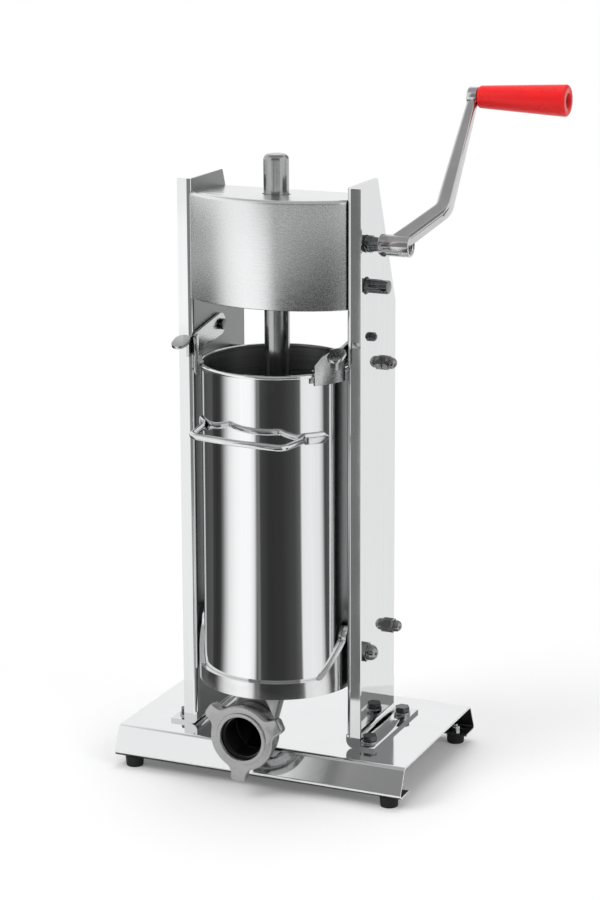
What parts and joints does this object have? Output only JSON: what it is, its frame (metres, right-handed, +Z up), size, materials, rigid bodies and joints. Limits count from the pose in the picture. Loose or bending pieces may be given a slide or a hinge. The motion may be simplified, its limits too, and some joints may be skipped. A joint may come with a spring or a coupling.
{
  "type": "vertical sausage stuffer",
  "caption": "Upright sausage stuffer: hand crank, reduction gears and rack rod drive a piston down a steel cylinder with a front outlet, held in a cradle between two uprights on a base.",
  "frame": {"origin": "on the cylinder's axis, in the plane the feet stand on", "axes": "+X to the crank's side, -Y to the outlet at the front, +Z up along the cylinder"},
  "size_m": [0.4001, 0.2491, 0.6797],
  "materials": {
    "base_sheet": "polished stainless sheet",
    "upright_sheet": "brushed stainless sheet",
    "housing_sheet": "brushed stainless sheet",
    "cylinder_sheet": "mirror polished stainless",
    "polished_wire": "polished wire",
    "cast_metal": "satin casting with bright edges",
    "bright_steel": "ground and polished",
    "plated_steel": "plated fasteners",
    "dark_steel": "machined steel",
    "gear_steel": "hobbed steel",
    "bronze": "sintered bronze",
    "piston_metal": "turned",
    "seal_plastic": "smooth white plastic",
    "foot_rubber": "matt moulded rubber",
    "seal_rubber": "moulded rubber",
    "grip_plastic": "glossy moulded plastic"
  },
  "bodies": {
    "frame": {"base_plate": "base_sheet", "rubber_feet": "foot_rubber", "foot_screws": "plated_steel", "foot_nuts": "plated_steel", "left_upright": "upright_sheet", "right_upright": "upright_sheet", "upright_bolts": "plated_steel", "upright_washers": "plated_steel", "upright_nuts": "plated_steel", "rear_stop_bar": "bright_steel", "lower_tie_bar": "bright_steel", "acorn_nuts": "plated_steel", "gear_housing": "housing_sheet", "rear_cover": "housing_sheet", "housing_floor": "housing_sheet", "guide_bridge": "housing_sheet", "rod_bushes": "seal_plastic", "shaft_bushes": "bronze", "cylinder": "cylinder_sheet", "cylinder_handle": "polished_wire", "outlet_spout": "cast_metal", "spout_seal": "seal_rubber", "cradle": "cast_metal", "cradle_pivots": "dark_steel", "cradle_pivot_nuts": "plated_steel", "lever_screws": "plated_steel", "lever_nuts": "plated_steel"},
    "rod": {"rack_rod": "bright_steel", "piston_disc": "piston_metal", "piston_seal": "seal_plastic", "piston_bolt": "plated_steel"},
    "valve": {"air_valve": "seal_plastic"},
    "crank": {"upper_shaft": "dark_steel", "upper_shaft_rings": "dark_steel", "drive_gear": "gear_steel", "rack_pinion": "gear_steel", "crank_arm": "cast_metal", "crank_screw": "dark_steel", "grip_pin": "dark_steel"},
    "grip": {"crank_grip": "grip_plastic"},
    "low_shaft": {"lower_shaft": "dark_steel", "lower_shaft_rings": "dark_steel", "lower_pinion": "gear_steel"},
    "left_lever": {"left_lever": "bright_steel"},
    "right_lever": {"right_lever": "bright_steel"},
    "ring_nut": {"ring_nut": "cast_metal"}
  },
  "joints": [
    {"name": "rod_slide", "type": "slide", "parent": "frame", "child": "rod", "axis": [0, 0, 1], "range_m": [-0.022, 0.293]},
    {"name": "valve_lift", "type": "slide", "parent": "rod", "child": "valve", "axis": [0, 0, 1], "range_m": [0, 0.003], "stiffness_N_per_m": 60},
    {"name": "crank_turn", "type": "hinge", "parent": "frame", "child": "crank", "pos_m": [0, 0.02205, 0.5328], "axis": [-1, 0, 0], "range_deg": [-107, 1400]},
    {"name": "grip_spin", "type": "hinge", "parent": "crank", "child": "grip", "pos_m": [0.2, 0.12995, 0.66417], "axis": [1, 0, 0], "continuous": true},
    {"name": "low_shaft_turn", "type": "hinge", "parent": "frame", "child": "low_shaft", "pos_m": [0, 0.02205, 0.4923], "axis": [1, 0, 0], "range_deg": [-302, 3999]},
    {"name": "left_lever_lift", "type": "hinge", "parent": "frame", "child": "left_lever", "pos_m": [-0.078, 0.035, 0.44], "axis": [-1, 0, 0], "range_deg": [0, 25]},
    {"name": "right_lever_lift", "type": "hinge", "parent": "frame", "child": "right_lever", "pos_m": [0.078, 0.035, 0.44], "axis": [-1, 0, 0], "range_deg": [0, 25]},
    {"name": "ring_nut_turn", "type": "hinge", "parent": "frame", "child": "ring_nut", "pos_m": [0, -0.08, 0.062], "axis": [0, -1, 0], "range_deg": [0, 360]}
  ],
  "couplings": [
    {"joint": "crank_turn", "follows": "rod_slide", "rad_per_m": 83.333},
    {"joint": "low_shaft_turn", "follows": "rod_slide", "rad_per_m": 238.1}
  ]
}
